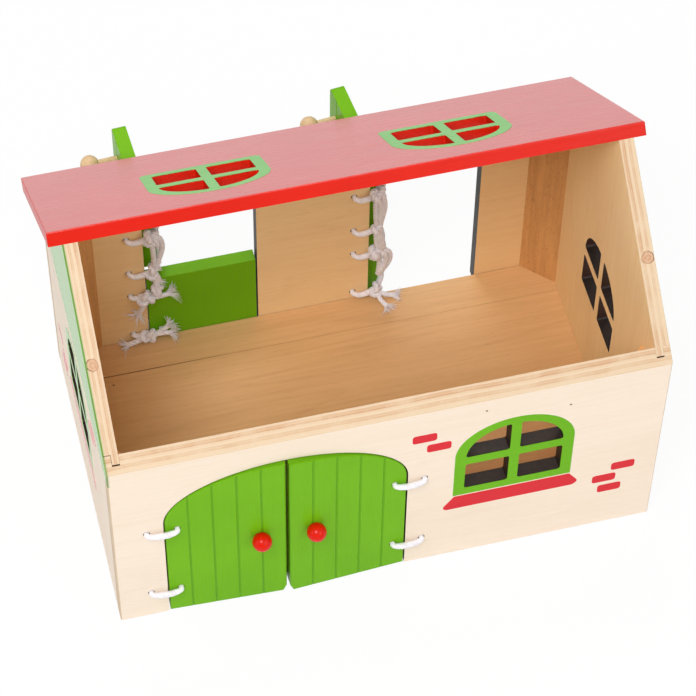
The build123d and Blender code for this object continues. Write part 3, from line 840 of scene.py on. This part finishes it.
# Loose fibres of a frayed end: each leaves the tip along the cord, drifts sideways with the square of
# its length, waves a little, droops, and is carried as a thin round tube.
def frayedEnd(tip, heading, length, chance):
    count, steps, around = cord["fibres"], 12, 6
    spin = chance.uniform(0, 2 * math.pi, count)[:, None]
    side = turned(spin, *squareTo(heading, (0.3, 0.5, 0.81)))
    start = tip - heading * cord["fibreRoot"] + side * chance.uniform(0.1, 1.3, count)[:, None]
    reach = (length * chance.uniform(0.55, 1.1, count) + cord["fibreRoot"])[:, None, None]
    spread = chance.uniform(0.15, 1.0, count)[:, None, None]
    wave = chance.uniform(-0.5, 0.5, (count, 1, 1))
    t = np.linspace(0, 1, steps)[None, :, None]
    across = np.cross(heading, side)[:, None]
    path = start[:, None] + heading * reach * t * (1 - 0.25 * spread * t)
    path = path + side[:, None] * reach * spread * t ** 2
    path = path + across * wave * np.sin(5 * t + 6 * wave) + np.array((0, 0, -0.09)) * reach * t ** 2
    along = unit(np.gradient(path, axis=1))
    lean = unit(np.cross(along, across))
    other = np.cross(along, lean)
    angle = fullTurn(around)[None, None, :, None]
    thick = (cord["fibreRadius"] * (1 - 0.75 * t ** 2))[..., None]
    grid = path[:, :, None] + thick * turned(angle, lean[:, :, None], other[:, :, None])
    travel = (reach * t)[..., None] + 0 * angle
    ring = [0.3 * shape + 0 * travel for shape in (np.cos(angle), np.sin(angle))]
    # painted shade: the fibres take one even level of the crease shade
    creaseShade = np.full((steps, around), 0.75)
    return [{"grid": g, "flat": f, "creaseShade": creaseShade, "closed": False}
            for g, f in zip(grid, np.concatenate((travel, *ring), -1))]


def sheetFaces(rows, around, closed, first):  # quads between neighbouring rings, and a cap on each open end
    i = np.arange(rows if closed else rows - 1)[:, None]
    j = np.arange(around)[None, :]
    a, b = i * around + j, i * around + (j + 1) % around
    c, d = (i + 1) % rows * around + (j + 1) % around, (i + 1) % rows * around + j
    quads = (np.stack((a, b, c, d), -1).reshape(-1, 4) + first).tolist()
    if closed:
        return quads
    ring = np.arange(around)
    return quads + [(ring[::-1] + first).tolist(), (ring + (rows - 1) * around + first).tolist()]


def cordMesh(name, sheets, finish):
    spots, flats = (np.vstack([sheet[key].reshape(-1, 3) for sheet in sheets]) * mm
                    for key in ("grid", "flat"))
    faces, first = [], 0
    for sheet in sheets:
        rows, around = sheet["grid"].shape[:2]
        faces += sheetFaces(rows, around, sheet["closed"], first)
        first += rows * around
    mesh = bpy.data.meshes.new(name)
    mesh.from_pydata(spots.tolist(), [], faces)
    mesh.polygons.foreach_set("use_smooth", np.ones(len(mesh.polygons), bool))
    straight = mesh.attributes.new("straightCord", "FLOAT_VECTOR", "POINT")
    straight.data.foreach_set("vector", flats.ravel())
    creaseShade = mesh.attributes.new("strandCreaseShade", "FLOAT", "POINT")
    creaseShade.data.foreach_set("value", np.concatenate([sheet["creaseShade"].ravel() for sheet in sheets]))
    mesh.materials.append(finish)
    mesh.update()
    return addObject(name, mesh)


def cottonFinish():  # soft white cotton: fibres follow the strands; painted shade makes the creases a little darker
    finish, tree, shader = newFinish("cottonCord", 0.85, 0.3)
    straight, creaseShade = put(tree, "ShaderNodeAttribute"), put(tree, "ShaderNodeAttribute")
    straight.attribute_name, creaseShade.attribute_name = "straightCord", "strandCreaseShade"
    fibres = stretched(tree, straight.outputs["Vector"], (0.16, 1.0, 1.0))
    hairs = noise(tree, fibres, 2600.0, 4.0, 0.65)
    drift = noise(tree, straight.outputs["Vector"], 260.0)
    # painted shade: the crease value darkens the cotton towards a greyer white
    shade = ramp(tree, creaseShade.outputs["Fac"], [(0.0, 0), (0.45, 0.75), (1.0, 1)])
    base = mixColour(tree, shade, rgb(206, 197, 200), rgb(248, 246, 252))
    pale = ramp(tree, hairs, [(0.34, rgb(212, 204, 206)), (0.6, 1)])
    colour = mixColour(tree, 0.4, base, pale, "MULTIPLY")
    dusk = ramp(tree, drift, [(0.35, rgb(232, 222, 224)), (0.6, 1)])
    feed(shader.inputs["Base Color"], mixColour(tree, 0.4, colour, dusk, "MULTIPLY"))
    shader.inputs["Sheen Weight"].default_value = 0.4
    shader.inputs["Sheen Roughness"].default_value = 0.5
    bumpFrom(tree, shader, hairs, 0.5, 0.0002)
    return finish


def holeDistance(hole, across, depth):  # distance from the stretch of a hole's axis inside the board
    return np.hypot(across - hole, np.maximum(0, np.maximum(depth - cord["faceOut"], cord["faceIn"] - depth)))


# A lashing's route in its own frame: knot, leaf's hole, outer run, wall's hole and back to the knot.
# A leaf that stands open folds the cord in the corner between leaf and wall.
def lashingSheets(name, chance):
    height, size, tails, frays = lashings[name]
    (axisX, axisY), degrees, signs = leafHinges[name.rsplit("_", 1)[0]]
    angle = math.radians(degrees)
    folded = degrees > 30
    inside, outside = cord["faceIn"] - cord["stand"], cord["faceOut"] + cord["stand"]
    middle = (cord["faceIn"] + cord["faceOut"]) / 2

    def onLeaf(distance, offset, drop=0.0):
        x = distance * math.cos(angle) - offset * math.sin(angle)
        return (x, distance * math.sin(angle) + offset * math.cos(angle), drop)

    hole, leafHole, sag = cord["wallHole"], cord["leafHole"], -cord["sag"]
    depths = [inside, cord["faceIn"], middle, cord["faceOut"], outside]
    if folded:
        wallCorner, leafCorner = (cord["corner"], inside - 0.3, 0.0), onLeaf(-cord["corner"], inside)
        knot = np.array(wallCorner) * 0.72 + np.array(leafCorner) * 0.28 + (0, -cord["knotIn"], 0)
        route = [tuple(knot), leafCorner]
        face = (0.72, -0.69, 0.05)
        leftOver = [wallCorner, (hole * 0.32, inside - 0.9, sag), (hole * 0.68, inside - 0.8, sag * 1.1)]
    else:
        knot = np.array(cord["knotShut"])
        route = [tuple(knot), onLeaf(leafHole * 0.55, inside - 0.6, -0.4)]
        face = (0.08, -0.99, 0.1)
        leftOver = [(hole * 0.55, inside - 0.6, -0.4)]
    route += [onLeaf(leafHole, depth) for depth in depths]
    ends = np.array([onLeaf(leafHole, outside), (hole, outside, 0.0)])
    for near, far in ((0.68, 0.32), (0.32, 0.68)):
        route.append(tuple(ends[0] * near + ends[1] * far + (0, 0.5, sag)))
    route += [(hole, depth, 0.0) for depth in reversed(depths)] + leftOver[::-1]

    def inBarn(points):
        return np.array(points, float) * (*signs, 1) + (axisX, axisY, height)

    path, length = cordPoints(inBarn(route), True, 0.4)
    local = (path - (axisX, axisY, height)) * (*signs, 1)
    back = local[:, :2] @ np.array(((math.cos(angle), -math.sin(angle)), (math.sin(angle), math.cos(angle))))
    away = np.minimum(holeDistance(hole, *local[:, :2].T), holeDistance(leafHole, *back.T))
    radius = cord["thin"] + (cord["thick"] - cord["thin"]) * smoothStep(away, 0.5, 7.0)
    lean = np.array((0.02, 0.03, 1.0)) + 0 * path
    loop = twistedCord(path, lean, radius, cord["lay"], True, length, cord["loopDepth"])
    centre = inBarn(knot)
    tied = [knotCord(centre, np.array(face) * (*signs, 1), chance.uniform(0, 2), size)]
    for tail, fray in zip(tails, frays):
        thickness = cord["tailRadius"] * chance.uniform(0.95, 1.08)
        sheet, tip, heading = tailCord(centre, np.array(tail, float) * (*signs, 1), thickness)
        tied.append(sheet)
        if fray:
            tied += frayedEnd(tip, heading, fray, chance)
        elif fray == 0:
            tied.append(knotCord(tip, (0.2, -0.9, 0.3), 0.7, 0.95))
    return [loop], tied, folded, inBarn


cotton = cottonFinish()
chance = np.random.default_rng(7)
for name in lashings:
    leaf, node = name.rsplit("_", 1)[0], name + "_lashing"
    loop, tied, folded, inBarn = lashingSheets(name, chance)
    piece = cordMesh(name + "_cord", loop + tied if folded else loop, cotton)
    if not folded:  # the knot stays where it is when the leaf swings away from it
        knot = cordMesh(name + "_knot", tied, cotton)
        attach(knot, "barn")
    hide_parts(node)
    bend = ((0.45, 0.89, 0), 1.0, 5.0) if folded else ((1, 0, 0), 3.0, 6.3)
    start, end = (inBarn(np.array(bend[0]) * reach) * mm for reach in bend[1:])
    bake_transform(piece)
print("barn: cords knotted")

brads = {  # mm; places with the way each looks, and the head's profile from its middle
    "places": [((-149, 67, 9.5), (0, 0, 1)), ((60, -111, 161.4), (0, -1, 0)),
               ((115.3, -111, 149.7), (0, -1, 0))],
    "reach": (0.01, 0.25, 0.5, 0.7, 0.82, 0.85), "rise": (0.05, 0.08, 0.14, 0.12, 0.03, -0.3),
}


def bradHeads(given):  # low domes of revolution with a dimple, over each place
    reach, rise = (np.array(given[key])[:, None, None] for key in ("reach", "rise"))
    angle = fullTurn(16)[None, :, None]
    sheets = []
    for place, outward in given["places"]:
        outward = np.array(outward, float)
        across = turned(angle, *squareTo(outward, (0.2, 0.5, 0.84)))
        grid = np.array(place, float) + reach * across + (rise + 0 * angle) * outward
        sheets.append({"grid": grid[::-1], "flat": grid * 0, "creaseShade": grid[..., 0] * 0, "closed": False})
    finish, tree, shader = newFinish("bradSteel")
    place, _ = objectPlace(tree)
    stain = ramp(tree, noise(tree, place, 3000.0), [(0.3, rgb(92, 60, 40)), (0.7, rgb(150, 116, 84))])
    feed(shader.inputs["Base Color"], stain)
    piece = cordMesh("bradHeads", sheets, finish)
    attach(piece, "barn")


bradHeads(brads)
print("barn: brads set")

studio = {
    "floorSize": 6.0, "floorGrey": 0.88, "seen": 0.93, "worldLight": 0.25,
    "keyLamp": ((-0.6, -1.0, 1.9), 0.9, 31.0), "sideLamp": ((-1.8, -0.3, 0.9), 0.9, 3.4),
    "fillLamp": ((1.1, -1.6, 1.2), 1.4, 12.0), "rearLamp": ((0.0, 1.0, 1.9), 0.9, 15.0),
}


def backdropFinish(given):  # white to the camera and to reflections, with the object's soft shadow left on it
    finish, tree, shader = newFinish("backdrop", roughness=0.9, specular=0.1)
    shader.inputs["Base Color"].default_value = grey(given["floorGrey"])
    glow = put(tree, "ShaderNodeEmission", Color=grey(1), Strength=1.0)
    ray = tree.nodes.new("ShaderNodeLightPath").outputs
    seen = times(tree, ray["Is Camera Ray"], given["seen"])
    mirrored = larger(tree, ray["Is Glossy Ray"], ray["Is Transmission Ray"])
    mix = tree.nodes.new("ShaderNodeMixShader")
    for index, value in enumerate((larger(tree, seen, mirrored), shader.outputs[0], glow.outputs[0])):
        feed(mix.inputs[index], value)
    feed(tree.nodes["Material Output"].inputs["Surface"], mix.outputs[0])
    return finish


def layFloor(given):
    half = given["floorSize"] / 2
    mesh = bpy.data.meshes.new("studioFloor")
    corners = [(-half, -half, 0), (half, -half, 0), (half, half, 0), (-half, half, 0)]
    mesh.from_pydata(corners, [], [(0, 1, 2, 3)])
    floor = addObject("studioFloor", mesh)
    mesh.materials.append(backdropFinish(given))


def hangLamp(name, place, size, power):
    lamp = bpy.data.lights.new(name, "AREA")
    lamp.shape = "SQUARE"
    lamp.size = size
    lamp.energy = power
    holder = addObject(name, lamp)
    holder.location = place
    holder.rotation_euler = (Vector((0, 0, 0.1)) - Vector(place)).to_track_quat("-Z", "Y").to_euler()


def lightWorld(given):  # level light all round, white where it is seen directly or mirrored
    world = bpy.data.worlds.new("studioAir")
    bpy.context.scene.world = world
    world.use_nodes = True
    tree = world.node_tree
    ray = tree.nodes.new("ShaderNodeLightPath").outputs
    seen = larger(tree, ray["Is Camera Ray"], ray["Is Glossy Ray"])
    seen = larger(tree, seen, ray["Is Transmission Ray"])
    rest = times(tree, seen, 1.0 - given["worldLight"])
    level = plus(tree, rest, given["worldLight"])
    feed(tree.nodes["Background"].inputs["Strength"], level)
    tree.nodes["Background"].inputs["Color"].default_value = grey(1)


layFloor(studio)
for lamp in ("keyLamp", "sideLamp", "fillLamp", "rearLamp"):
    hangLamp(lamp, *studio[lamp])
lightWorld(studio)
bpy.context.scene.view_settings.view_transform = "Standard"
print("barn: studio lit")

owners = [*bpy.data.materials, *bpy.data.worlds]
for tree in [*groups.values(), *(owner.node_tree for owner in owners if owner.use_nodes)]:
    arrange(tree)
print("barn: nodes laid out")
